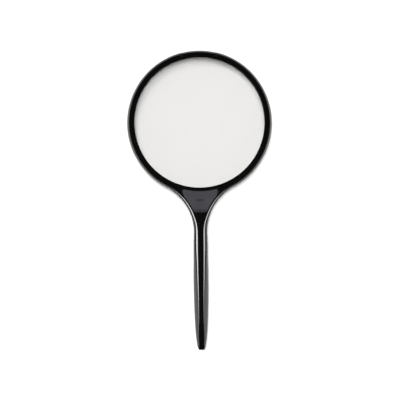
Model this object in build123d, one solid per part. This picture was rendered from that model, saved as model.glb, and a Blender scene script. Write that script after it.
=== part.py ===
from build123d import *

import os
from math import atan2, cos, hypot, pi, radians, sin, sqrt, tan

# A hand-held reading glass: a 4 inch lens in a slim black rim that runs into a long tapered handle.
# The frame is two moulded halves, front and rear, that meet on the glass's middle plane and trap the lens.
#
# All lengths are in millimetres. The glass lies flat on its rear face: +Z is the lens axis, +Y runs from
# the handle's end to the top of the rim, and the origin is under the middle of the whole glass.
# "Distance" is always measured from the lens centre towards the handle's end, so y = LENS_Y - distance.
# Shapes are worked out about the middle plane, with z = 0 there, and lifted onto the table at the end.

# ---- driving dimensions -------------------------------------------------------------------------------

LENS_BLANK_R = 50.8  # a 4 inch blank
LENS_EDGE = 2.2  # flat land round the lens
FOCAL_LENGTH = 310.0  # about 1.8 times magnification
ACRYLIC_INDEX = 1.49

RIM_R = 55.0
RIM_DEPTH = 12.0
APERTURE_R = 49.25
RIM_EDGE = 2.0  # how far in from the outside the flat land starts to turn down
RIM_EDGE_DROP = 3.7  # how far down that turn reaches
RIM_EDGE_START = 38.0  # degrees, its slope where it leaves the land
RIM_INNER_ROUND = 0.5

TIP_DISTANCE = 172.7  # lens centre to the end of the handle
SHELL_END = 170.4  # where the shells stop and the end plug's head begins

SEAT_CLEARANCE = 0.05  # between the lens cushion and its groove
CUSHION_WALL = 0.7
CUSHION_LIP = 0.9  # how far the cushion reaches over the lens

TONGUE_WIDTH = 0.7
TONGUE_HEIGHT = 0.8
TONGUE_CLEARANCE = 0.05

SHELL_WALL = 1.8
CAVITY_START = 64.0
CAVITY_END = 158.0

INLAY_THICKNESS = 1.0
INLAY_SUNK = 0.3  # the inlay's face lies this far below the neck's
INLAY_GAP = 0.1  # all round, between the inlay and its pocket
INLAY_TOP_R = 52.0  # its top edge is an arc about the lens centre
INLAY_FOOT = 68.3  # distance of its lower end
INLAY_HALF_WIDTH = 13.3
INLAY_CORNER = 1.6
POCKET_DRAFT = 18.0  # degrees, the lean of the pocket's wall

NECK_R = 38.0  # the hollow curve from the rim into the handle
NECK_X = 43.15
NECK_DISTANCE = 82.4
RAIL_WIDTH = 2.9  # of the raised rails between the inlay and the neck's edge

SCREW_X = 5.6
SCREW_DISTANCE = 57.0
SCREW_R = 1.3
SCREW_CORE_R = 0.95
SCREW_PITCH = 0.9
SCREW_HEAD_R = 2.4
SCREW_HEAD = 1.3
SCREW_REACH = 2.8  # how far the screw enters the front shell

POST_DISTANCES = (84.0, 113.0, 141.0)
POST_R = 2.1
PIN_R = 1.0
PIN_LENGTH = 1.6
PIN_CLEARANCE = 0.05

PLUG_START = 160.9
PLUG_HALF_WIDTH = 1.2
PLUG_HALF_DEPTH = 1.0
PLUG_BARB = 0.3
PLUG_BARB_LENGTH = 1.4

# The neck and handle, station by station: distance from the lens centre, half width, half depth, radius
# of the long edges, and half the angle that the crowned face turns through.
STATIONS = (
    (46.0, 26.50, 5.95, 2.10, 2.0),
    (50.0, 22.40, 5.86, 2.00, 2.0),
    (54.0, 17.90, 5.63, 1.85, 2.0),
    (58.0, 14.02, 5.40, 1.75, 2.0),
    (63.0, 10.48, 5.18, 1.85, 2.0),
    (69.0, 7.59, 5.00, 2.10, 2.0),
    (75.0, 5.88, 4.93, 2.60, 2.0),
    (81.0, 5.18, 4.95, 3.10, 2.0),
    (92.0, 5.42, 5.10, 3.60, 2.0),
    (105.5, 5.56, 5.33, 3.90, 2.0),
    (119.0, 5.72, 5.48, 4.20, 2.0),
    (132.0, 5.57, 5.38, 4.20, 2.0),
    (144.0, 5.24, 4.99, 3.80, 2.0),
    (154.0, 4.80, 4.34, 3.10, 2.0),
    (162.0, 4.26, 3.64, 2.40, 2.0),
    (168.2, 3.50, 2.98, 1.80, 2.0),
    (SHELL_END, 3.10, 2.72, 1.40, 2.0),
    (TIP_DISTANCE, 2.40, 2.38, 0.70, 2.0),
)

# ---- worked out from them -----------------------------------------------------------------------------

LENS_Y = (TIP_DISTANCE - RIM_R) / 2
HALF_DEPTH = RIM_DEPTH / 2
LENS_SURFACE_R = 2 * FOCAL_LENGTH * (ACRYLIC_INDEX - 1)
LENS_SAG = LENS_SURFACE_R - sqrt(LENS_SURFACE_R**2 - LENS_BLANK_R**2)
CUSHION_R = LENS_BLANK_R + CUSHION_WALL
CUSHION_HALF = LENS_EDGE / 2 + CUSHION_WALL
SEAT_R = CUSHION_R + SEAT_CLEARANCE
SEAT_HALF = CUSHION_HALF + SEAT_CLEARANCE
TONGUE_R = (SEAT_R + RIM_R) / 2
LONG = 4 * RIM_R  # longer than anything it has to cut

LENS_AXIS = Axis((0, LENS_Y, 0), (0, 0, 1))


def place(distance, x=0.0, z=0.0):
    """The point at that distance from the lens centre."""
    return Vector(x, LENS_Y - distance, z)


def ring(*outline):
    """The solid of revolution about the lens axis of an outline of (radius, z) points and edges."""
    return revolve(Plane.XZ.offset(-LENS_Y) * make_face(outline), axis=LENS_AXIS)


def at_height(solid, height):
    return Pos(0, 0, height) * solid


# ---- neck and handle sections -------------------------------------------------------------------------


def section(distance, half_width, half_depth, edge_r, crown, hollow=0.0, roof=0.0):
    """Upper half of a cross-section: straight sides, rounded long edges and a gently crowned face.

    hollow shrinks it by a wall's thickness, and roof lowers its face by that much more."""
    width = half_width - hollow
    depth = half_depth - hollow - roof
    radius = max(edge_r - hollow, 0.8)
    turn = radians(crown)
    face_x = width - radius + radius * sin(turn)
    face_r = face_x / sin(turn)
    face_z = depth - face_r * (1 - cos(turn))
    side_z = face_z - radius * cos(turn)
    middle = (pi / 2 - turn) / 2
    edge_x = width - radius + radius * cos(middle)
    edge_z = side_z + radius * sin(middle)
    assert side_z > 0.05, f"the section at {distance} has no room for its edges"

    def at(x, z):
        return place(distance, x, z)

    return Face(
        Wire(
            [
                Line(at(width, 0), at(width, side_z)),
                ThreePointArc(at(width, side_z), at(edge_x, edge_z), at(face_x, face_z)),
                ThreePointArc(at(face_x, face_z), at(0, depth), at(-face_x, face_z)),
                ThreePointArc(at(-face_x, face_z), at(-edge_x, edge_z), at(-width, side_z)),
                Line(at(-width, side_z), at(-width, 0)),
                Line(at(-width, 0), at(width, 0)),
            ]
        )
    )


def mixed(distance):
    """The station at a distance between two of the listed ones, on a straight line between them."""
    for low, high in zip(STATIONS, STATIONS[1:]):
        if low[0] <= distance <= high[0]:
            share = (distance - low[0]) / (high[0] - low[0])
            return tuple(a + share * (b - a) for a, b in zip(low, high))
    raise ValueError(distance)


def half_handle():
    """Outer form of the neck and handle above the middle plane."""
    return loft([section(*station) for station in STATIONS if station[0] <= SHELL_END])


def half_cavity():
    """The hollow inside half a handle. It lies deeper under the inlay's pocket."""
    between = [s for s in STATIONS if CAVITY_START < s[0] < CAVITY_END]
    stations = [mixed(CAVITY_START), *between, mixed(CAVITY_END)]
    under_inlay = (INLAY_THICKNESS + INLAY_SUNK, 0.6, 0.0)
    roofs = [*under_inlay, *[0.0] * len(stations)]
    return loft([section(*s, hollow=SHELL_WALL, roof=roof) for s, roof in zip(stations, roofs)])


# ---- rim ----------------------------------------------------------------------------------------------


def half_rim():
    """The rim above the middle plane, solid down to the aperture: a flat land with a crisp inner edge and
    a long round outside, an arc that starts at RIM_EDGE_START and comes out nearly upright."""
    top = HALF_DEPTH
    start, chord = radians(RIM_EDGE_START), atan2(RIM_EDGE_DROP, RIM_EDGE)
    arc_r = hypot(RIM_EDGE, RIM_EDGE_DROP) / (2 * sin(chord - start))
    shoulder = RIM_R - RIM_EDGE
    middle = shoulder + arc_r * (sin(chord) - sin(start)), top - arc_r * (cos(start) - cos(chord))
    lip = APERTURE_R + RIM_INNER_ROUND
    lip_knee = lip - RIM_INNER_ROUND * cos(pi / 4), top - RIM_INNER_ROUND * (1 - sin(pi / 4))
    return ring(
        Line((APERTURE_R, 0), (RIM_R, 0)),
        Line((RIM_R, 0), (RIM_R, top - RIM_EDGE_DROP)),
        ThreePointArc((RIM_R, top - RIM_EDGE_DROP), middle, (shoulder, top)),
        Line((shoulder, top), (lip, top)),
        ThreePointArc((lip, top), lip_knee, (APERTURE_R, top - RIM_INNER_ROUND)),
        Line((APERTURE_R, top - RIM_INNER_ROUND), (APERTURE_R, 0)),
    )


def block(inner, outer, low, high):
    """A plain ring between two radii and two heights."""
    return ring(Polyline((inner, low), (outer, low), (outer, high), (inner, high), close=True))


def tongue(clearance=0.0):
    """The locating tongue under the front half of the rim, or with clearance its groove in the rear."""
    half = TONGUE_WIDTH / 2 + clearance
    return block(TONGUE_R - half, TONGUE_R + half, -TONGUE_HEIGHT - clearance, 0)


# ---- neck inlay ---------------------------------------------------------------------------------------


def inlay_plane():
    """The plane of the inlay's face, tilted to follow the neck as it thins towards the handle."""
    high, low = mixed(INLAY_TOP_R), mixed(69.0)
    fall = (high[2] - low[2]) / (low[0] - high[0])
    return Plane(
        origin=place(INLAY_TOP_R, z=high[2] - INLAY_SUNK), x_dir=(1, 0, 0), z_dir=(0, -fall, 1)
    )


def inlay_outline(grow=0.0):
    """An arched top about the lens, sides that follow the neck's, a straight foot and softened corners.

    Its own origin is the middle of the top edge, and grow moves every edge outwards."""
    top, foot = INLAY_TOP_R - grow, INLAY_FOOT + grow
    lens_centre = Pos(0, INLAY_TOP_R)
    blank = lens_centre * Pos(0, -foot) * Rectangle(
        2 * (INLAY_HALF_WIDTH + grow), foot, align=(Align.CENTER, Align.MIN)
    )
    blank -= lens_centre * Circle(top)
    for side in (-NECK_X, NECK_X):
        blank -= lens_centre * Pos(side, -NECK_DISTANCE) * Circle(NECK_R + RAIL_WIDTH - grow)
    corners = [v for v in blank.vertices() if v.Y < INLAY_HALF_WIDTH]
    return fillet(corners, INLAY_CORNER)


def inlay():
    return extrude(inlay_plane() * inlay_outline(), -INLAY_THICKNESS)


def inlay_pocket():
    """The recess that the inlay lies in, with leaning walls so that it leaves a raised rail each side."""
    floor = inlay_plane().offset(-INLAY_THICKNESS)
    height = 3.0
    mouth = inlay_outline(INLAY_GAP + height * tan(radians(POCKET_DRAFT)))
    return loft([floor * inlay_outline(INLAY_GAP), floor.offset(height) * mouth])


def blank_panel():
    """A plain sunk bar in the middle of the front inlay, left empty."""
    bar = Pos(0, -7.3) * RectangleRounded(6.2, 1.5, 0.7)
    return extrude(inlay_plane() * bar, -0.25)


# ---- fasteners and fits -------------------------------------------------------------------------------


def screw_places():
    return [Pos(place(SCREW_DISTANCE, x)) for x in (-SCREW_X, SCREW_X)]


def screw_seat_z():
    """Height of the underside of the screw heads, in the floor of the rear pocket."""
    below_top = (SCREW_DISTANCE - INLAY_TOP_R) * -inlay_plane().z_dir.Y / inlay_plane().z_dir.Z
    pocket_floor = inlay_plane().origin.Z - below_top - INLAY_THICKNESS
    return -(pocket_floor - SCREW_HEAD - 0.25)


def screw():
    """A pan-head thread-forming screw, driven upwards from the rear, with its ridges as plain rings."""
    seat = screw_seat_z()
    tip = SCREW_REACH
    ridge = SCREW_PITCH / 2
    shank = Pos(0, 0, (seat + tip) / 2) * Cylinder(SCREW_CORE_R, tip - seat)
    count = int((tip - seat - 0.6) / SCREW_PITCH)
    ring_down = (Align.CENTER, Align.CENTER, Align.MAX)
    for turn in range(count):
        height = tip - 0.4 - SCREW_PITCH * turn
        shank += Pos(0, 0, height) * Cone(SCREW_CORE_R, SCREW_R, ridge, align=ring_down)
    head = Pos(0, 0, seat - SCREW_HEAD / 2) * Cylinder(SCREW_HEAD_R, SCREW_HEAD)
    head = fillet(head.edges().group_by(Axis.Z)[0], 0.5)
    slot = Box(0.7, 3.0, 0.8) + Box(3.0, 0.7, 0.8)
    return shank + head - Pos(0, 0, seat - SCREW_HEAD + 0.4) * slot


def posts():
    """Posts inside the handle, from the middle plane up into the roof of the cavity."""
    return [Pos(place(d)) * Pos(0, 0, 2.0) * Cylinder(POST_R, 4.0) for d in POST_DISTANCES]


def pins(clearance=0.0):
    """The locating pins that cross the middle plane, or with clearance their sockets."""
    length = PIN_LENGTH + 2 * clearance
    pin = Cylinder(PIN_R + clearance, length, align=(Align.CENTER, Align.CENTER, Align.MAX))
    return [Pos(place(d)) * pin for d in POST_DISTANCES]


def plug_shank(clearance=0.0):
    """The end plug's shank with its barb, or with clearance the socket that both shells form round it."""

    def bar(start, end, extra):
        size = 2 * (PLUG_HALF_WIDTH + extra), end - start, 2 * (PLUG_HALF_DEPTH + extra)
        return Pos(place((start + end) / 2)) * Box(*size)

    barb_start = PLUG_START + 1.0
    shank = bar(PLUG_START - clearance, SHELL_END, clearance)
    barb = bar(barb_start - clearance, barb_start + PLUG_BARB_LENGTH + clearance, PLUG_BARB + clearance)
    return shank + barb


# ---- the pieces ---------------------------------------------------------------------------------------


def lens():
    """Biconvex, with equal faces and a flat edge land."""
    rim_z, centre_z = LENS_EDGE / 2, LENS_EDGE / 2 + LENS_SAG
    half_r = LENS_BLANK_R / 2
    half_z = centre_z - (LENS_SURFACE_R - sqrt(LENS_SURFACE_R**2 - half_r**2))
    return ring(
        Line((0, -centre_z), (0, centre_z)),
        ThreePointArc((0, centre_z), (half_r, half_z), (LENS_BLANK_R, rim_z)),
        Line((LENS_BLANK_R, rim_z), (LENS_BLANK_R, -rim_z)),
        ThreePointArc((LENS_BLANK_R, -rim_z), (half_r, -half_z), (0, -centre_z)),
    )


def lens_cushion():
    """A soft band of U section round the lens edge, which takes up the shells' tolerance."""
    band = block(LENS_BLANK_R - CUSHION_LIP, CUSHION_R, -CUSHION_HALF, CUSHION_HALF)
    return band - lens()


def half_frame():
    """What the two shells share, as the front one stands: rim, neck and handle over the middle plane."""
    aperture = block(0, APERTURE_R, -HALF_DEPTH, 2 * HALF_DEPTH)
    edge = APERTURE_R + RIM_INNER_ROUND
    throat = block(0, edge, HALF_DEPTH - RIM_INNER_ROUND, 2 * HALF_DEPTH)
    half = half_rim() + (half_handle() - aperture - throat)
    half -= block(0, SEAT_R, -SEAT_HALF, SEAT_HALF)
    half -= half_cavity()
    half += posts()
    half -= plug_shank(clearance=SEAT_CLEARANCE)
    return half - inlay_pocket()


def front_shell():
    """The front half, with the tongue, the locating pins and the screws' pilot holes."""
    pilot = Cylinder(SCREW_R, SCREW_REACH + 0.4, align=(Align.CENTER, Align.CENTER, Align.MIN))
    shell = half_frame() + tongue() + pins()
    return shell - [spot * pilot for spot in screw_places()]


def rear_shell():
    """The rear half, with the groove, the pins' sockets and the counterbored screw holes."""
    shell = mirror(half_frame(), about=Plane.XY)
    shell -= tongue(clearance=TONGUE_CLEARANCE)
    shell -= pins(clearance=PIN_CLEARANCE)
    hole = Cylinder(SCREW_R + 0.1, LONG)
    bore = Cylinder(SCREW_HEAD_R + 0.15, LONG, align=(Align.CENTER, Align.CENTER, Align.MAX))
    for spot in screw_places():
        shell -= spot * hole
        shell -= spot * Pos(0, 0, screw_seat_z()) * bore
    return shell


def neck_screws():
    return Compound([spot * screw() for spot in screw_places()])


def front_neck_inlay():
    return inlay() - blank_panel()


def rear_neck_inlay():
    return mirror(inlay(), about=Plane.XY)


def end_plug():
    """The small square end of the handle, held by a barbed shank between the two shells."""
    head = loft([section(*station) for station in STATIONS if station[0] >= SHELL_END])
    return head + mirror(head, about=Plane.XY) + plug_shank()


PIECES = (
    front_shell,
    rear_shell,
    lens,
    lens_cushion,
    front_neck_inlay,
    rear_neck_inlay,
    neck_screws,
    end_plug,
)

os.makedirs("parts", exist_ok=True)
for piece in PIECES:
    export_step(at_height(piece(), HALF_DEPTH), f"parts/{piece.__name__}.step")
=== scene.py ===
import math

import bmesh
import bpy
import numpy as np
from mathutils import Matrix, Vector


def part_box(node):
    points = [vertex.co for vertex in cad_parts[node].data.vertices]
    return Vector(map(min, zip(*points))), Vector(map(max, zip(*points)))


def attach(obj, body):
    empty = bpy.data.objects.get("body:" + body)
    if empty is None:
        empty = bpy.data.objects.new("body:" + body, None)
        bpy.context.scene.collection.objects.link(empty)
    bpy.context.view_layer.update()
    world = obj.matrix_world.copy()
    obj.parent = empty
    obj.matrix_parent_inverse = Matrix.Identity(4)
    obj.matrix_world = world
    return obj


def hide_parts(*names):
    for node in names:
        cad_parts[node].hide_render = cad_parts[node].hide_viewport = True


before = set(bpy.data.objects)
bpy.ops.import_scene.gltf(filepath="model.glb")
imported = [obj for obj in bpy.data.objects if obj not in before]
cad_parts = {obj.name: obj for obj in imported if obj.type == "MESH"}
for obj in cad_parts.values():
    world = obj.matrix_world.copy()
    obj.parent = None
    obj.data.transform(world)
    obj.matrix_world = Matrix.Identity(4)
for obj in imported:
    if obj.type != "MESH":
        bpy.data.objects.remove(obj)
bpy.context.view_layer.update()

bl_info = {
    "name": "Magnifying Glass",
    "version": (1, 0, 0),
    "blender": (4, 5, 0),
    "location": "View3D > Sidebar > Magnifying Glass",
    "description": "Dresses a 4 inch reading glass: gloss black frame, acrylic lens and matte neck inlays",
    "category": "Add Mesh",
}

SHELLS = ("front_shell_gloss", "rear_shell_gloss")
MM = 0.001

# ---- the frame's plan and sections, in millimetres ------------------------------------------------------
# Plan points are (x, d), with d the distance below the lens centre towards the handle's end, and heights
# are measured from the glass's middle plane. Each curve below is a row of (d, value) knots. Where a long
# flat stretch meets a steep one it has close knots, because the cubic between them would swing past.

LENS_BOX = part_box("lens")
LENS_Y = (LENS_BOX[0].y + LENS_BOX[1].y) / 2 / MM
MID_Z = (LENS_BOX[0].z + LENS_BOX[1].z) / 2 / MM

APERTURE_R = 49.25
RIM_R = 55.3
SEAT_R = 51.55
SEAT_HALF = 1.85
LAND_R = 51.2  # where the rim's land meets the neck's flat
INNER_ROUND = 0.2

NECK_X, NECK_R = 43.15, 38.0  # the hollow curve between rim and handle
NECK_D = math.sqrt((RIM_R + NECK_R) ** 2 - NECK_X**2)
TANGENT = math.atan2(NECK_X, NECK_D)  # where it leaves the rim, as an angle from straight down
SHELL_END = 170.4
TIP = 172.7

HALF_WIDTH = (
    (82.4, 5.15), (92, 5.42), (105.5, 5.56), (119, 5.72), (132, 5.57), (144, 5.24),
    (154, 4.80), (162, 4.26), (168.2, 3.50), (170.4, 3.10), (172.7, 2.40),
)
HALF_DEPTH = (
    (43, 6.0), (50, 5.86), (58, 5.40), (66, 5.06), (75, 4.93), (85, 4.98), (105.5, 5.33), (119, 5.48),
    (132, 5.38), (144, 4.99), (154, 4.34), (162, 3.64), (168.2, 2.98), (170.4, 2.72), (172.7, 2.38),
)
EDGE = (  # how far in from the outline the face starts to turn down
    (-54, 1.75), (-15, 1.9), (10, 1.9), (30, 1.75), (48.4, 1.55), (53, 1.65), (58, 1.85), (66, 2.1),
    (71, 2.35), (80, 3.05), (90, 3.45), (101, 3.55), (112, 3.7), (121, 3.85), (132, 3.75), (144, 3.4),
    (150, 3.1), (156, 2.6), (162, 2.0), (168.2, 1.45), (172.7, 0.6),
)
EDGE_DROP = (  # how far down that turn reaches
    (-54, 4.2), (-15, 4.4), (20, 4.5), (40, 4.5), (45, 4.3), (48.4, 3.7), (53, 2.2), (58, 1.75),
    (66, 1.95), (71, 2.2), (80, 3.0), (90, 3.8), (101, 4.1), (112, 4.6), (121, 4.9), (132, 5.0),
    (144, 4.6), (150, 4.2), (156, 3.6), (162, 3.0), (168.2, 2.3), (172.7, 1.2),
)
CORNER = (  # radius of the turn's upper part, where the light catches
    (50.5, 0.05), (52, 0.5), (54.5, 1.4), (58, 1.6), (66, 1.7), (71, 2.0), (77, 2.3), (83, 3.3),
    (90, 3.4), (97, 3.1), (102, 2.6), (108, 2.2), (120, 1.65), (126, 1.35), (132, 0.9), (144, 0.5),
    (156, 0.2), (172.7, 0.1),
)
RAIL = (  # width of the margin between the outline and the neck's inlay, or the handle's flat
    (48.4, 2.9), (68, 2.9), (80, 3.25), (90, 3.75), (101, 3.95), (112, 4.2), (121, 4.35), (132, 4.25),
    (144, 3.85), (156, 2.95), (162, 2.35), (168.2, 1.75), (172.7, 0.9),
)
CORNER_TURN = (  # slope in degrees where the corner's arc gives way to the flank's
    (-54, 42), (-15, 49), (30, 50), (44, 48), (56, 38), (97, 38), (120, 44), (144, 48),
)

PARTING = 0.12  # depth of the fine groove where the two shells meet
INLAY_TOP_R = 52.0
INLAY_FOOT = 68.3
INLAY_HALF_WIDTH = 13.3
INLAY_CORNER = 1.6
RAIL_WIDTH = 2.9
POCKET_DEPTH = 1.3
INLAY_THICKNESS = 1.0
INLAY_SUNK = 0.3
INLAY_GAP = 0.1
INLAY_EDGE = 0.25  # radius of its top edge, and the run of the pocket's wall
INLAY_HUB = 56.5  # distance of the point that its grid is laid out from
INLAY_RISE_D, INLAY_RISE = 63.5, 4.5  # where it starts to rise level with the neck, and over how far
GRAIN_FULL_D, GRAIN_GONE_D = 64.8, 69.5  # between these its grain runs out into gloss
BAR_D, BAR_HALF_LENGTH, BAR_R = 58.9, 2.35, 0.75
BAR_DEPTH, BAR_WALL = 0.16, 0.4
# reach and fade of the bar's polish and of the painted shade that darkens it
BAR_POLISH_AND_SHADE_REACH, BAR_POLISH_AND_SHADE_FADE = 0.35, 0.5

LENS_LAND = 1.1  # half the thickness of the lens's flat edge
JOINT_HEIGHT = 0.01  # each shell stops this far from the middle plane, so that the two never coincide
PLUG_GAP = 0.06
PLUG_ROUND = 0.15
PLUG_INSET = 0.04  # how much smaller than the shells' end the plug is

# ---- the stage, in metres and degrees -------------------------------------------------------------------

STRIP_REACH = 0.8
STRIP_NEAR, STRIP_FAR = 12, 50
STRIP_RUN = (-0.42, 0.0)
FLOOR_REFLECTANCE = 0.88
CAMERA_LENS, CAMERA_SENSOR = 95.0, 36.0  # millimetres
CAMERA_CENTRE = (-0.0002, 0.00015)
CAMERA_ROLL = -0.55


def linear(hex_colour):
    """An sRGB hex colour as linear red, green, blue and alpha."""
    value = np.array([int(hex_colour[i : i + 2], 16) for i in (1, 3, 5)]) / 255
    out = np.where(value <= 0.04045, value / 12.92, ((value + 0.055) / 1.055) ** 2.4)
    return (*map(float, out), 1.0)


def curve(at, knots):
    """Smooth curve through knots: a cubic between each pair, with each knot's slope taken from its
    neighbours. It starts level and holds its end values beyond the ends."""
    xs, ys = np.array(knots, float).T
    slope = np.gradient(ys, xs)
    slope[0] = 0
    at = np.clip(at, xs[0], xs[-1])
    i = np.clip(np.searchsorted(xs, at) - 1, 0, len(xs) - 2)
    step = xs[i + 1] - xs[i]
    t = (at - xs[i]) / step
    rise = ys[i + 1] - ys[i]
    a = slope[i] * step - rise
    b = rise - slope[i + 1] * step
    return ys[i] + t * rise + t * (1 - t) * (a * (1 - t) + b * t)


def ease(t):
    """0 up to t = 0, 1 from t = 1, and a smooth S between."""
    t = np.clip(t, 0, 1)
    return t * t * (3 - 2 * t)


def inlay_distance(plan):
    """How far plan points lie outside the inlay's outline, negative inside it.

    The outline keeps outside a circle about the lens and a circle about each neck curve's centre, above
    its foot and within its half width. Corners are rounded by taking the root of the summed squares of
    the amounts by which a point passes each limit, once every limit is moved in by the corner radius."""
    x, d = plan[..., 0], plan[..., 1]
    limits = np.stack(
        [
            INLAY_TOP_R - np.hypot(x, d),
            NECK_R + RAIL_WIDTH - np.hypot(np.abs(x) - NECK_X, d - NECK_D),
            d - INLAY_FOOT,
            np.abs(x) - INLAY_HALF_WIDTH,
        ]
    )
    past = np.sqrt((np.maximum(limits + INLAY_CORNER, 0) ** 2).sum(0))
    return np.where(past > 0, past - INLAY_CORNER, limits.max(0))


def face_height(plan):
    """Height of the flat face, which falls away gently from the rim to the neck, less the inlay's pocket."""
    pocket = POCKET_DEPTH * ease((INLAY_GAP + INLAY_EDGE - inlay_distance(plan)) / INLAY_EDGE)
    return curve(plan[..., 1], HALF_DEPTH) - pocket


def rim_and_handle():
    """Stations down one side, from the top of the rim to the end of the shell.

    Gives the outline point, its inward normal, the inner point opposite (on the land's circle, then on
    the centre line), and the stretch of a sideways offset where the outline is slanted. The outline is
    the rim's circle, then the neck's hollow arc, which touches it, then the handle's half width."""
    phi = np.linspace(0, math.pi - TANGENT, 180)
    out = np.stack([np.sin(phi), -np.cos(phi)], 1)
    rim = (RIM_R * out, -out, LAND_R * out)

    on_circle, on_line = 64, 90
    circle_length = LAND_R * TANGENT
    share = circle_length / (circle_length + NECK_D - LAND_R)
    part = np.r_[np.linspace(0, share, on_circle), np.linspace(share, 1, on_line)[1:]][1:]
    gamma = TANGENT + (math.pi / 2 - TANGENT) * part
    inward = np.stack([-np.sin(gamma), -np.cos(gamma)], 1)
    theta = TANGENT * (1 - np.minimum(part / share, 1))
    line = np.maximum(part - share, 0) / (1 - share) * (NECK_D - LAND_R)
    inner = np.stack([LAND_R * np.sin(theta), LAND_R * np.cos(theta) + line], 1)
    neck = (np.array([NECK_X, NECK_D]) + NECK_R * inward, inward, inner)

    d = np.linspace(NECK_D, SHELL_END, 120)[1:]
    handle = handle_stations(d)
    outline, normal, inner = (np.concatenate(p) for p in zip(rim, neck, handle[:3]))
    stretch = np.r_[np.ones(len(phi) + len(part)), handle[3]]
    circle = len(phi) + on_circle - 1
    return outline, normal, inner, stretch, circle


def handle_stations(d):
    """Stations straight across the handle at distances d."""
    width = curve(d, HALF_WIDTH)
    slope = (curve(d + 0.01, HALF_WIDTH) - curve(d - 0.01, HALF_WIDTH)) / 0.02
    outline = np.stack([width, d], 1)
    normal = np.stack([-np.ones_like(d), np.zeros_like(d)], 1)
    inner = np.stack([np.zeros_like(d), d], 1)
    return outline, normal, inner, np.sqrt(1 + slope**2)


def skin(outline, normal, inner, stretch, base, groove):
    """The outer surface over one side: at each station a profile from the inner point to the outline.

    It runs level across the flat and the margin, turns down through the corner's arc and then through
    a flank arc that starts in the same direction and ends at the given width and drop. Its end angle is
    twice the chord's less the start angle, and its radius is the chord over twice the sine of half the
    turn. Points on both are radius times sine and cosine. Then it drops straight to the parting line."""
    at = outline[:, 1]
    corner, rounded, fall, rail = (curve(at, knots)[:, None] for knots in (CORNER, EDGE, EDGE_DROP, RAIL))
    start_turn = np.radians(curve(at, CORNER_TURN))[:, None]
    sin_c, cos_c = np.sin(start_turn), np.cos(start_turn)
    wide = rounded - corner * sin_c
    deep = fall - corner * (1 - cos_c)
    end_turn = 2 * np.arctan2(deep, wide) - start_turn
    flank = np.hypot(deep, wide) / (2 * np.sin((end_turn - start_turn) / 2))

    flat = np.array([0, 0.25, 0.5, 0.75])
    turn_c = np.linspace(0, 1, 8) * start_turn
    turn_f = start_turn + np.linspace(0, 1, 8)[1:] * (end_turn - start_turn)
    offset = np.hstack(
        [
            rail - (rail - rounded) * flat,
            rounded - corner * np.sin(turn_c),
            rounded - corner * sin_c - flank * (np.sin(turn_f) - sin_c),
        ]
    )
    drop = np.hstack(
        [
            np.zeros_like(rail * flat),
            corner * (1 - np.cos(turn_c)),
            corner * (1 - cos_c) + flank * (cos_c - np.cos(turn_f)),
        ]
    )
    plan = outline[:, None] + (offset * stretch[:, None])[..., None] * normal[:, None]
    margin = np.dstack([plan, face_height(plan) - drop])
    if (margin[:, -1, 2] < base + groove).any():
        raise ValueError("a flank reaches past the parting line")

    across = np.linspace(0, 1, 25)[:-1, None]
    edge = plan[:, :1]
    plan = inner[:, None] + across * (edge - inner[:, None])
    middle = np.dstack([plan, face_height(plan)])

    foot = margin[:, -1:]
    wall = [foot * [1, 1, k] + [0, 0, (1 - k) * (base + groove)] for k in (0.5, 0.0)]
    lip = (outline + groove * normal)[:, None]
    lip = np.dstack([lip, np.full(lip.shape[:2], base)])
    return np.hstack([middle, margin, *wall, lip])


def ring_land(angle_points, base):
    """The rim's inner side, round the lens: land, rounded lip, wall and the seat cut behind it."""
    turn = np.linspace(0, math.pi / 2, 9)
    lip = APERTURE_R + INNER_ROUND
    radius = np.r_[
        np.linspace(LAND_R, lip, 8)[:-1], lip - INNER_ROUND * np.sin(turn), [APERTURE_R] * 2, [SEAT_R] * 2
    ]
    drop = np.r_[np.zeros(7), INNER_ROUND * (1 - np.cos(turn)), np.zeros(4)]
    out = angle_points / np.linalg.norm(angle_points, axis=1, keepdims=True)
    plan = radius[None, :, None] * out[:, None]
    height = face_height(plan) - drop
    height[:, -4] = (height[:, -5] + SEAT_HALF) / 2
    height[:, -3:-1] = SEAT_HALF
    height[:, -1] = base
    return np.dstack([plan, height])


def joint_face(outline, normal, inner, circle, base, groove):
    """The flat face on the middle plane, one strip from the seat or the centre line to the outline."""
    start = inner.copy()
    start[:circle] *= SEAT_R / LAND_R
    line = inner[circle:, 1]
    squeeze = np.where(line < NECK_D, (NECK_D - SEAT_R) / (NECK_D - LAND_R), 1.0)
    start[circle:, 1] = NECK_D - (NECK_D - line) * squeeze
    plan = np.stack([start, outline + groove * normal], 1)
    return np.dstack([plan, np.full(plan.shape[:2], base)])


def half_shell():
    """Every grid of points that closes one side of a shell above the middle plane."""
    outline, normal, inner, stretch, circle = rim_and_handle()
    outer = skin(outline, normal, inner, stretch, JOINT_HEIGHT, PARTING)
    land = ring_land(inner[:circle], JOINT_HEIGHT)
    joint = joint_face(outline, normal, inner, circle, JOINT_HEIGHT, PARTING)
    hub = np.broadcast_to(joint[-1, 0], outer[-1].shape)
    return [outer, land, joint, np.stack([outer[-1], hub])]


def mirrored(grids, axis):
    """The grids and their reflections across the plane where that axis is 0."""
    flip = np.ones(3)
    flip[axis] = -1
    return [*grids, *[grid * flip for grid in grids]]


def placed(grids, side=1):
    """Plan points and heights as places in the row frame, in metres. side -1 is the rear half."""
    x, d, z = np.moveaxis(np.concatenate([g.reshape(-1, 3) for g in grids]), 1, 0)
    return np.stack([x, LENS_Y - d, MID_Z + side * z], 1) * MM


def grid_faces(grids):
    """The four-sided faces between neighbouring rows and columns of every grid."""
    start, faces = 0, []
    for grid in grids:
        rows, columns = grid.shape[:2]
        index = start + np.arange(rows * columns).reshape(rows, columns)
        quads = [index[:-1, :-1], index[1:, :-1], index[1:, 1:], index[:-1, 1:]]
        faces.append(np.stack(quads, -1).reshape(-1, 4))
        start += rows * columns
    return np.concatenate(faces)


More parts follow.
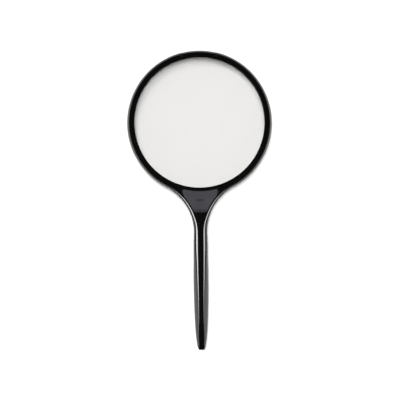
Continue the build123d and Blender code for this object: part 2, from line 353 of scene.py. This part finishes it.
def build_mesh(name, grids, side=1, sharp=32):
    """One closed mesh from grids of points: edges that meet are welded and faces turned outwards."""
    mesh = bpy.data.meshes.new(name)
    mesh.from_pydata(placed(grids, side).tolist(), [], grid_faces(grids).tolist())
    work = bmesh.new()
    work.from_mesh(mesh)
    bmesh.ops.remove_doubles(work, verts=work.verts, dist=2e-6)
    bmesh.ops.dissolve_degenerate(work, edges=work.edges, dist=1e-6)
    bmesh.ops.recalc_face_normals(work, faces=work.faces)
    open_edges = sum(1 for edge in work.edges if not edge.is_manifold)
    if open_edges:
        raise RuntimeError(f"{name} has {open_edges} open edges")
    work.to_mesh(mesh)
    work.free()
    mesh.polygons.foreach_set("use_smooth", np.ones(len(mesh.polygons), bool))
    mesh.set_sharp_from_angle(angle=math.radians(sharp))
    mesh.update()
    piece = bpy.data.objects.new(name, mesh)
    bpy.context.scene.collection.objects.link(piece)
    return piece


def dress(piece, material, slot, *nodes):
    """Gives a new piece its material and its body, and hides the CAD nodes that it stands for. slot is not
    used.
    """
    piece.data.materials.clear()
    piece.data.materials.append(material)
    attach(piece, "root")
    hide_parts(*nodes)


# ---- materials ------------------------------------------------------------------------------------------

MULTIPLY_ADD = {"operation": "MULTIPLY_ADD"}


def start_material(name):
    """A node material with one Principled shader, its node tree and that shader."""
    material = bpy.data.materials.new(name)
    material.use_nodes = True
    tree = material.node_tree
    tree.nodes.clear()
    shader = add_node(tree, "ShaderNodeBsdfPrincipled")
    output = add_node(tree, "ShaderNodeOutputMaterial")
    tree.links.new(shader.outputs[0], output.inputs[0])
    return material, tree, shader


def add_node(tree, kind, settings=(), **links):
    """Adds a node. settings are its attributes; links give each input's value or the socket to join.

    An input is named with underscores for spaces, or by its number after one, as in _0."""
    node = tree.nodes.new(kind)
    for name, value in dict(settings).items():
        setattr(node, name, value)
    for name, value in links.items():
        key = int(name[1:]) if name[1:].isdigit() else name.replace("_", " ")
        socket = node.inputs[key]
        if isinstance(value, bpy.types.NodeSocket):
            tree.links.new(value, socket)
        else:
            socket.default_value = value
    return node


def set_shader(shader, **values):
    """Sets inputs by name, with underscores for spaces."""
    for name, value in values.items():
        shader.inputs[name.replace("_", " ")].default_value = value


def remap(tree, value, low, high, new_low, new_high):
    """A socket's value stretched from one range to another and held at its ends."""
    node = add_node(tree, "ShaderNodeMapRange", {"clamp": True}, Value=value)
    ends = {"From Min": low, "From Max": high, "To Min": new_low, "To Max": new_high}
    for name, end in ends.items():
        node.inputs[name].default_value = end
    return node.outputs[0]


def per_metre(millimetres):
    """A texture's scale for features of that size."""
    return 1 / (millimetres * MM)


def gloss_black_abs(settings):
    """High-gloss black ABS, injection moulded in a polished tool.

    The eye sees a deep black with sharp reflections, a very slight orange peel from the melt's flow and
    a haze of fine handling scratches."""
    material, tree, shader = start_material("gloss_black_abs")
    place = add_node(tree, "ShaderNodeTexCoord").outputs["Object"]
    peel_scale = per_metre(settings.peel_size / MM)
    peel = add_node(tree, "ShaderNodeTexNoise", Vector=place, Scale=peel_scale, Detail=2.0)
    along = add_node(tree, "ShaderNodeMapping", Vector=place, Scale=(1.0, 0.08, 1.0))
    scratch = add_node(tree, "ShaderNodeTexNoise", Vector=along.outputs[0], Scale=per_metre(0.5), Detail=4.0)
    haze = remap(tree, scratch.outputs[0], 0.45, 0.75, settings.roughness, settings.roughness + 0.05)
    tree.links.new(haze, shader.inputs["Roughness"])
    bump = add_node(tree, "ShaderNodeBump", Height=peel.outputs[0], Strength=0.06, Distance=0.02 * MM)
    tree.links.new(bump.outputs[0], shader.inputs["Normal"])
    set_shader(shader, Base_Color=(*settings.black, 1.0), IOR=1.54)
    return material


def matte_grey_inlay(settings):
    """Dark grey ABS from a spark-eroded tool: an even, fine-grained matte that scatters light softly.

    Towards its narrow lower end the grain runs out into polished black, as the insert blends into the
    handle. The grain is drawn at 0.4 mm, coarser than the real 0.1 mm, so that it shows."""
    material, tree, shader = start_material("spark_eroded_grey_abs")
    place = add_node(tree, "ShaderNodeTexCoord").outputs["Object"]
    grain_scale = per_metre(settings.grain_size / MM)
    grain = add_node(tree, "ShaderNodeTexNoise", Vector=place, Scale=grain_scale, Detail=3.0)
    cloud = add_node(tree, "ShaderNodeTexNoise", Vector=place, Scale=per_metre(9.0), Detail=1.0)
    split = add_node(tree, "ShaderNodeSeparateXYZ", Vector=place)
    full = (LENS_Y - GRAIN_FULL_D) * MM
    gone = (LENS_Y - GRAIN_GONE_D) * MM
    fade = remap(tree, split.outputs["Y"], gone, full, 0.0, 1.0)
    tone = add_node(tree, "ShaderNodeMath", MULTIPLY_ADD, _0=grain.outputs[0], _1=0.5, _2=0.0)
    tone = add_node(tree, "ShaderNodeMath", MULTIPLY_ADD, _0=cloud.outputs[0], _1=0.5, _2=tone.outputs[0])
    shade = remap(tree, tone.outputs[0], 0.3, 0.7, 0.0, 1.0)
    grey = (*settings.grey, 1.0)
    darker = tuple(0.86 * c for c in settings.grey) + (1.0,)
    lighter = tuple(1.12 * c for c in settings.grey) + (1.0,)
    mottled = add_node(tree, "ShaderNodeMix", {"data_type": "RGBA"}, _0=shade)
    mottled.inputs[6].default_value = darker
    mottled.inputs[7].default_value = lighter
    sunk_bar = add_node(tree, "ShaderNodeAttribute", {"attribute_name": "sunk_bar"})
    # In the sunk bar the colour is mixed 35% of the way towards black as well as made smoother. The
    # smoothness is the bar's polish. The darkening is painted shade for the dark overhead that the polished
    # floor reflects.
    share = add_node(tree, "ShaderNodeMath", MULTIPLY_ADD, _0=sunk_bar.outputs["Fac"], _1=-0.35, _2=fade)
    polish_and_painted_shade = share.outputs[0]
    colour = add_node(tree, "ShaderNodeMix", {"data_type": "RGBA"}, _0=polish_and_painted_shade)
    colour.inputs[6].default_value = linear("#050505")
    tree.links.new(mottled.outputs[2], colour.inputs[7])
    tree.links.new(colour.outputs[2], shader.inputs["Base Color"])
    rough = remap(tree, polish_and_painted_shade, 0.0, 1.0, 0.12, settings.roughness)
    tree.links.new(rough, shader.inputs["Roughness"])
    bump = add_node(tree, "ShaderNodeBump", Height=grain.outputs[0], Strength=0.35, Distance=0.03 * MM)
    tree.links.new(bump.outputs[0], shader.inputs["Normal"])
    set_shader(shader, IOR=1.52)
    return material


def cast_acrylic(settings):
    """Optically polished cast acrylic, PMMA, refractive index 1.49: clear in itself, with hard bright
    reflections and the faintest unevenness of polish. Its grey tint is painted shade, which dims the table
    seen through it."""
    material, tree, shader = start_material("polished_cast_acrylic")
    place = add_node(tree, "ShaderNodeTexCoord").outputs["Object"]
    smear = add_node(tree, "ShaderNodeTexNoise", Vector=place, Scale=per_metre(14.0), Detail=3.0)
    rough = remap(tree, smear.outputs[0], 0.5, 0.8, 0.0, 0.02)
    tree.links.new(rough, shader.inputs["Roughness"])
    set_shader(shader, Base_Color=(*settings.painted_shade_tint, 1.0), IOR=1.49)
    shader.inputs["Transmission Weight"].default_value = 1.0
    return material


def elastomer_cushion():
    """Black thermoplastic elastomer, extruded: dull, slightly dusty."""
    material, tree, shader = start_material("black_elastomer")
    place = add_node(tree, "ShaderNodeTexCoord").outputs["Object"]
    dust = add_node(tree, "ShaderNodeTexNoise", Vector=place, Scale=per_metre(0.6), Detail=4.0)
    colour = add_node(tree, "ShaderNodeMix", {"data_type": "RGBA"}, _0=dust.outputs[0])
    colour.inputs[6].default_value = linear("#0c0c0c")
    colour.inputs[7].default_value = linear("#1b1b1a")
    tree.links.new(colour.outputs[2], shader.inputs["Base Color"])
    rough = remap(tree, dust.outputs[0], 0.3, 0.7, 0.6, 0.8)
    tree.links.new(rough, shader.inputs["Roughness"])
    set_shader(shader, IOR=1.5)
    return material


def zinc_plated_steel():
    """Bright zinc plate on cold-headed steel: cool silver, a little cloudy, with fine pitting."""
    material, tree, shader = start_material("zinc_plated_steel")
    place = add_node(tree, "ShaderNodeTexCoord").outputs["Object"]
    cloud = add_node(tree, "ShaderNodeTexNoise", Vector=place, Scale=per_metre(0.8), Detail=4.0)
    colour = add_node(tree, "ShaderNodeMix", {"data_type": "RGBA"}, _0=cloud.outputs[0])
    colour.inputs[6].default_value = linear("#a9adb2")
    colour.inputs[7].default_value = linear("#cfd2d4")
    tree.links.new(colour.outputs[2], shader.inputs["Base Color"])
    rough = remap(tree, cloud.outputs[0], 0.3, 0.7, 0.25, 0.42)
    tree.links.new(rough, shader.inputs["Roughness"])
    set_shader(shader, Metallic=1.0)
    return material


def satin_black_plug():
    """Black ABS from a lightly blasted tool: a satin black, a little softer than the shells' gloss."""
    material, tree, shader = start_material("satin_black_abs")
    place = add_node(tree, "ShaderNodeTexCoord").outputs["Object"]
    grain = add_node(tree, "ShaderNodeTexNoise", Vector=place, Scale=per_metre(0.25), Detail=3.0)
    rough = remap(tree, grain.outputs[0], 0.3, 0.7, 0.28, 0.4)
    tree.links.new(rough, shader.inputs["Roughness"])
    bump = add_node(tree, "ShaderNodeBump", Height=grain.outputs[0], Strength=0.2, Distance=0.01 * MM)
    tree.links.new(bump.outputs[0], shader.inputs["Normal"])
    set_shader(shader, Base_Color=linear("#060606"), IOR=1.54)
    return material


def white_table(settings):
    """White laminate table top: even, faintly mottled, dull."""
    material, tree, shader = start_material("white_laminate")
    place = add_node(tree, "ShaderNodeTexCoord").outputs["Object"]
    mottle = add_node(tree, "ShaderNodeTexNoise", Vector=place, Scale=per_metre(60.0), Detail=2.0)
    colour = add_node(tree, "ShaderNodeMix", {"data_type": "RGBA"}, _0=mottle.outputs[0])
    colour.inputs[6].default_value = (*settings.floor, 1.0)
    colour.inputs[7].default_value = (*(min(1.0, c * 1.015) for c in settings.floor), 1.0)
    tree.links.new(colour.outputs[2], shader.inputs["Base Color"])
    set_shader(shader, Roughness=0.9, IOR=1.3)
    shader.inputs["Specular IOR Level"].default_value = 0.1
    return material


# ---- settings a user would change -----------------------------------------------------------------------


class GLASS_PG_shell(bpy.types.PropertyGroup):
    black: bpy.props.FloatVectorProperty(
        name="Black", description="Colour of the gloss shells", subtype="COLOR", size=3,
        min=0, max=1, default=linear("#020202")[:3],
    )
    roughness: bpy.props.FloatProperty(
        name="Roughness", description="Roughness of the polished shells", subtype="FACTOR",
        min=0, max=1, default=0.07,
    )
    peel_size: bpy.props.FloatProperty(
        name="Orange peel", description="Spacing of the faint waves in the gloss", unit="LENGTH",
        min=0.0005, max=0.02, default=3.5 * MM,
    )


class GLASS_PG_inlay(bpy.types.PropertyGroup):
    grey: bpy.props.FloatVectorProperty(
        name="Grey", description="Colour of the matte neck inlays", subtype="COLOR", size=3,
        min=0, max=1, default=linear("#3b3b3f")[:3],
    )
    roughness: bpy.props.FloatProperty(
        name="Roughness", description="Roughness of the matte inlays", subtype="FACTOR",
        min=0, max=1, default=0.6,
    )
    grain_size: bpy.props.FloatProperty(
        name="Grain", description="Spacing of the spark-eroded grain", unit="LENGTH",
        min=0.0001, max=0.005, default=0.4 * MM,
    )


class GLASS_PG_lens(bpy.types.PropertyGroup):
    # The tint's grey is painted shade: it dims the table seen through the lens, which is lit bright enough
    # to wash out its shadows.
    painted_shade_tint: bpy.props.FloatVectorProperty(
        name="Tint", description="Tint of the acrylic", subtype="COLOR", size=3,
        min=0, max=1, default=linear("#cecdcd")[:3],
    )
    surface_radius: bpy.props.FloatProperty(
        name="Surface radius", description="Radius of each face of the lens", unit="LENGTH",
        min=0.1, max=2, default=303.8 * MM,
    )


class GLASS_PG_stage(bpy.types.PropertyGroup):
    floor: bpy.props.FloatVectorProperty(
        name="Floor", description="Colour of the table top", subtype="COLOR", size=3,
        min=0, max=1, default=linear("#f4f4f2")[:3],
    )
    floor_size: bpy.props.FloatProperty(
        name="Floor size", description="Side of the table top", unit="LENGTH",
        min=1, max=40, default=12.0,
    )
    camera_distance: bpy.props.FloatProperty(
        name="Camera distance", description="Height of the camera over the glass", unit="LENGTH",
        min=0.2, max=5, default=0.8115,
    )


# ---- one operator for each group of pieces --------------------------------------------------------------


class GLASS_OT_shells(bpy.types.Operator):
    """Build the two gloss black half shells, front and rear"""

    bl_idname = "magnifier.shells"
    bl_label = "Shells"

    def execute(self, context):
        finish = gloss_black_abs(context.scene.glass_shell)
        grids = mirrored(half_shell(), 0)
        for name, side, node in zip(SHELLS, (1, -1), ("front_shell", "rear_shell")):
            dress(build_mesh(name, grids, side), finish, "gloss_black_abs", node)
        return {"FINISHED"}


class GLASS_OT_lens(bpy.types.Operator):
    """Build the biconvex acrylic lens"""

    bl_idname = "magnifier.lens"
    bl_label = "Lens"

    def execute(self, context):
        settings = context.scene.glass_lens
        lens = build_mesh("acrylic_lens", lens_grids(settings.surface_radius / MM))
        dress(lens, cast_acrylic(settings), "clear_acrylic", "lens")
        lens.visible_shadow = False
        return {"FINISHED"}


class GLASS_OT_inlays(bpy.types.Operator):
    """Build the matte neck inlays, the front one with its blank sunk bar"""

    bl_idname = "magnifier.inlays"
    bl_label = "Neck inlays"

    def execute(self, context):
        finish = matte_grey_inlay(context.scene.glass_inlay)
        for name, side, node, bar in (
            ("front_inlay_matte", 1, "front_neck_inlay", BAR_DEPTH),
            ("rear_inlay_matte", -1, "rear_neck_inlay", 0.0),
        ):
            piece = build_mesh(name, inlay_grids(bar), side)
            mark_bar(piece)
            dress(piece, finish, "matte_grey_inlay", node)
        return {"FINISHED"}


class GLASS_OT_fittings(bpy.types.Operator):
    """Build the end plug and finish the lens cushion and the neck screws"""

    bl_idname = "magnifier.fittings"
    bl_label = "Fittings"

    def execute(self, context):
        plug = build_mesh("end_plug_satin", plug_grids())
        dress(plug, satin_black_plug(), "satin_black_plug", "end_plug")
        for node, finish in (("lens_cushion", elastomer_cushion()), ("neck_screws", zinc_plated_steel())):
            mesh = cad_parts[node].data
            mesh.materials.clear()
            mesh.materials.append(finish)
        return {"FINISHED"}


class GLASS_OT_stage(bpy.types.Operator):
    """Build the table, the studio lights and the camera"""

    bl_idname = "magnifier.stage"
    bl_label = "Stage"

    def execute(self, context):
        settings = context.scene.glass_stage
        build_floor(settings)
        build_lights()
        build_camera(settings)
        return {"FINISHED"}


def lens_grids(radius):
    """Profile of the lens carried round its axis.

    The face's height at r is its centre height less R - sqrt(R^2 - r^2); the edge is a flat land."""
    blank = (LENS_BOX[1].x - LENS_BOX[0].x) / 2 / MM
    r = blank * np.sin(np.linspace(0, math.pi / 2, 48))
    centre = (LENS_BOX[1].z - LENS_BOX[0].z) / 2 / MM
    z = centre - (radius - np.sqrt(radius**2 - r**2))
    z = LENS_LAND + (z - z[-1]) * (centre - LENS_LAND) / (centre - z[-1])
    profile = np.stack([np.r_[r, r[::-1]], np.r_[z, -z[::-1]]], 1)
    angle = np.linspace(0, 2 * math.pi, 181)
    grid = np.stack(
        [
            profile[:, 0] * np.sin(angle)[:, None],
            profile[:, 0] * np.cos(angle)[:, None],
            profile[:, 1] * np.ones_like(angle)[:, None],
        ],
        -1,
    )
    return [grid]


def bar_distance(plan):
    """How far plan points lie outside the front inlay's blank sunk bar, whose ends are half circles."""
    beyond = np.maximum(np.abs(plan[..., 0]) - BAR_HALF_LENGTH, 0)
    return np.hypot(beyond, plan[..., 1] - BAR_D) - BAR_R


def mark_bar(piece):
    """Stores how far into the sunk bar each point of a finished inlay lies, 0 outside and 1 inside: the
    material makes the bar smoother by this amount and darkens it with painted shade.
    """
    count = len(piece.data.vertices)
    at = np.empty(3 * count)
    piece.data.vertices.foreach_get("co", at)
    at = at.reshape(-1, 3) / MM
    outside = bar_distance(np.stack([at[:, 0], LENS_Y - at[:, 1]], 1))
    inside = ease((BAR_POLISH_AND_SHADE_REACH - outside) / BAR_POLISH_AND_SHADE_FADE)
    sunk_bar = piece.data.attributes.new("sunk_bar", "FLOAT", "POINT")
    sunk_bar.data.foreach_set("value", (inside * (at[:, 2] > MID_Z)).astype(np.float32))


def inlay_grids(bar_depth):
    """The inlay: rays from its middle out to its outline, over its top, round its edge and back below.

    The outline along each ray is found by halving, where inlay_distance passes the clearance. The top
    follows the neck's face, sunk a little, and rises to meet it at the foot."""
    hub = np.array([0.0, INLAY_HUB])
    angle = np.linspace(0, 2 * math.pi, 361)
    ray = np.stack([np.sin(angle), np.cos(angle)], 1)
    low, high = np.zeros_like(angle), np.full_like(angle, 20.0)
    for _ in range(40):
        reach = (low + high) / 2
        inside = inlay_distance(hub + reach[:, None] * ray) < 0
        low, high = np.where(inside, reach, low), np.where(inside, high, reach)
    share = np.r_[np.linspace(0, 0.9, 46), 1 - 0.1 * np.linspace(0.9, 0, 9) ** 1.5]
    top = hub + share[None, :, None] * (reach[:, None] * ray)[:, None]
    inset = np.clip(-inlay_distance(top), 0, INLAY_EDGE)
    edge = INLAY_EDGE - np.sqrt(INLAY_EDGE**2 - (INLAY_EDGE - inset) ** 2)
    level = curve(top[..., 1], HALF_DEPTH)
    sunk = INLAY_SUNK * (1 - ease((top[..., 1] - INLAY_RISE_D) / INLAY_RISE))
    bar = bar_depth * ease((BAR_WALL / 2 - bar_distance(top)) / BAR_WALL)
    upper = np.dstack([top, level - sunk - edge - bar])
    floor = np.dstack([top, level - INLAY_SUNK - INLAY_THICKNESS])
    return [upper, floor, np.stack([upper[:, -1], floor[:, -1]], 1)]


def plug_grids():
    """The handle's square end: the handle's own section carried on, with a softened end."""
    straight_end = TIP - PLUG_ROUND
    turn = np.linspace(0, math.pi / 2, 6)[1:]
    straight = np.linspace(SHELL_END + PLUG_GAP, straight_end, 10)
    d = np.r_[straight, straight_end + PLUG_ROUND * np.sin(turn)]
    grid = skin(*handle_stations(d), 0.0, 0.0)
    near_end = np.clip((d - straight_end) / PLUG_ROUND, 0, 1)
    shrink = 0.7 * PLUG_ROUND * (1 - np.sqrt(1 - near_end**2)) + PLUG_INSET
    half_depth = grid[:, :1, 2]
    scale = (half_depth - shrink[:, None]) / half_depth
    grid[..., 0] *= scale
    grid[..., 2] *= scale
    ends = []
    for k in (0, -1):
        flat = grid[k].copy()
        flat[:, 2] = 0
        ends.append(np.stack([grid[k], flat]))
    return mirrored(mirrored([grid, *ends], 0), 2)


def build_floor(settings):
    """A large flat sheet at the height the glass rests on."""
    half = settings.floor_size / 2
    line = np.linspace(-half, half, 9)
    x, y = np.meshgrid(line, line)
    points = np.stack([x, y, np.zeros_like(x)], -1)
    mesh = bpy.data.meshes.new("table_top")
    mesh.from_pydata(points.reshape(-1, 3).tolist(), [], grid_faces([points]).tolist())
    floor = bpy.data.objects.new("table_top", mesh)
    bpy.context.scene.collection.objects.link(floor)
    mesh.materials.append(white_table(settings))


def add_sun(name, azimuth, elevation, spread, floor_share):
    """A distant soft lamp that gives the floor a radiance of floor_share and isn't seen in gloss.

    The floor's radiance is the lamp's strength, times the sine of its elevation and the floor's
    reflectance, over pi. Azimuth turns from +X towards +Y and spread is the lamp's width in the sky."""
    lamp = bpy.data.lights.new(name, "SUN")
    up = math.radians(elevation)
    lamp.angle = math.radians(spread)
    lamp.energy = floor_share * math.pi / (math.sin(up) * FLOOR_REFLECTANCE)
    holder = bpy.data.objects.new(name, lamp)
    bpy.context.scene.collection.objects.link(holder)
    holder.rotation_euler = (0, math.pi / 2 - up, math.radians(azimuth))
    holder.visible_glossy = False
    holder.visible_transmission = False


def add_strip(name, side, radiance, shown_in):
    """A long band of light beside the handle that only the gloss pieces in shown_in reflect.

    Seen from the glass it spans STRIP_NEAR to STRIP_FAR degrees from straight up, at STRIP_REACH."""
    near, far = math.radians(STRIP_NEAR), math.radians(STRIP_FAR)
    inner = np.array([side * math.sin(near), math.cos(near)]) * STRIP_REACH
    outer = np.array([side * math.sin(far), math.cos(far)]) * STRIP_REACH
    middle = (inner + outer) / 2
    low, high = STRIP_RUN
    size = (float(np.hypot(*(outer - inner))), high - low)
    lamp = bpy.data.lights.new(name, "AREA")
    lamp.shape = "RECTANGLE"
    lamp.size, lamp.size_y = size
    lamp.energy = radiance * math.pi * size[0] * size[1]
    holder = bpy.data.objects.new(name, lamp)
    bpy.context.scene.collection.objects.link(holder)
    holder.location = (middle[0], (low + high) / 2, middle[1])
    holder.rotation_euler = (0, math.atan2(middle[0], middle[1]), 0)
    holder.visible_camera = False
    holder.light_linking.receiver_collection = shown_in


def build_lights():
    """A strip box either side above the handle for its gloss, soft light from above and from beyond the
    rim for the floor, and a bright horizon that darkens overhead."""
    gloss = bpy.data.collections.new("gloss_pieces")
    for piece in SHELLS:
        gloss.objects.link(bpy.data.objects[piece])
    add_strip("strip_left", -1, 16.0, gloss)
    add_strip("strip_right", 1, 10.5, gloss)
    add_sun("top_light", 90, 85, 24, 1.0)
    add_sun("far_light", 118, 65, 18, 0.34)
    world = bpy.data.worlds.new("studio")
    bpy.context.scene.world = world
    world.use_nodes = True
    tree = world.node_tree
    tree.nodes.clear()
    way = add_node(tree, "ShaderNodeTexCoord").outputs["Generated"]
    split = add_node(tree, "ShaderNodeSeparateXYZ", Vector=way)
    glow = remap(tree, split.outputs["Z"], 0.03, 0.22, 0.95, 0.025)
    sky = add_node(tree, "ShaderNodeBackground", Color=(1, 1, 1, 1), Strength=glow)
    output = add_node(tree, "ShaderNodeOutputWorld")
    tree.links.new(sky.outputs[0], output.inputs[0])


def build_camera(settings):
    """Straight above the middle of the glass, turned by about half a degree."""
    data = bpy.data.cameras.new("camera")
    data.lens = CAMERA_LENS
    data.sensor_width = CAMERA_SENSOR
    camera = bpy.data.objects.new("camera", data)
    bpy.context.scene.collection.objects.link(camera)
    camera.location = (*CAMERA_CENTRE, settings.camera_distance)
    camera.rotation_euler = (0, 0, math.radians(CAMERA_ROLL))
    bpy.context.scene.camera = camera
    bpy.context.scene.view_settings.view_transform = "Standard"


class GLASS_PT_panel(bpy.types.Panel):
    """Lists the magnifying glass's settings and pieces"""

    bl_label = "Magnifying Glass"
    bl_idname = "GLASS_PT_panel"
    bl_space_type = "VIEW_3D"
    bl_region_type = "UI"
    bl_category = "Magnifying Glass"

    def draw(self, context):
        for label, group in SETTINGS.items():
            box = self.layout.box()
            box.label(text=label.replace("glass_", "").title())
            for name in group.__annotations__:
                box.prop(getattr(context.scene, label), name)
        for operator in OPERATORS:
            self.layout.operator(operator.bl_idname)


SETTINGS = {
    "glass_shell": GLASS_PG_shell,
    "glass_inlay": GLASS_PG_inlay,
    "glass_lens": GLASS_PG_lens,
    "glass_stage": GLASS_PG_stage,
}
OPERATORS = (GLASS_OT_shells, GLASS_OT_lens, GLASS_OT_inlays, GLASS_OT_fittings, GLASS_OT_stage)


def register():
    for group in (*SETTINGS.values(), *OPERATORS, GLASS_PT_panel):
        bpy.utils.register_class(group)
    for name, group in SETTINGS.items():
        setattr(bpy.types.Scene, name, bpy.props.PointerProperty(type=group))


def unregister():
    for name in SETTINGS:
        delattr(bpy.types.Scene, name)
    for group in reversed((*SETTINGS.values(), *OPERATORS, GLASS_PT_panel)):
        bpy.utils.unregister_class(group)


def main():
    register()
    bpy.ops.magnifier.shells()
    bpy.ops.magnifier.lens()
    bpy.ops.magnifier.inlays()
    bpy.ops.magnifier.fittings()
    bpy.ops.magnifier.stage()


if __name__ == "__main__":
    main()
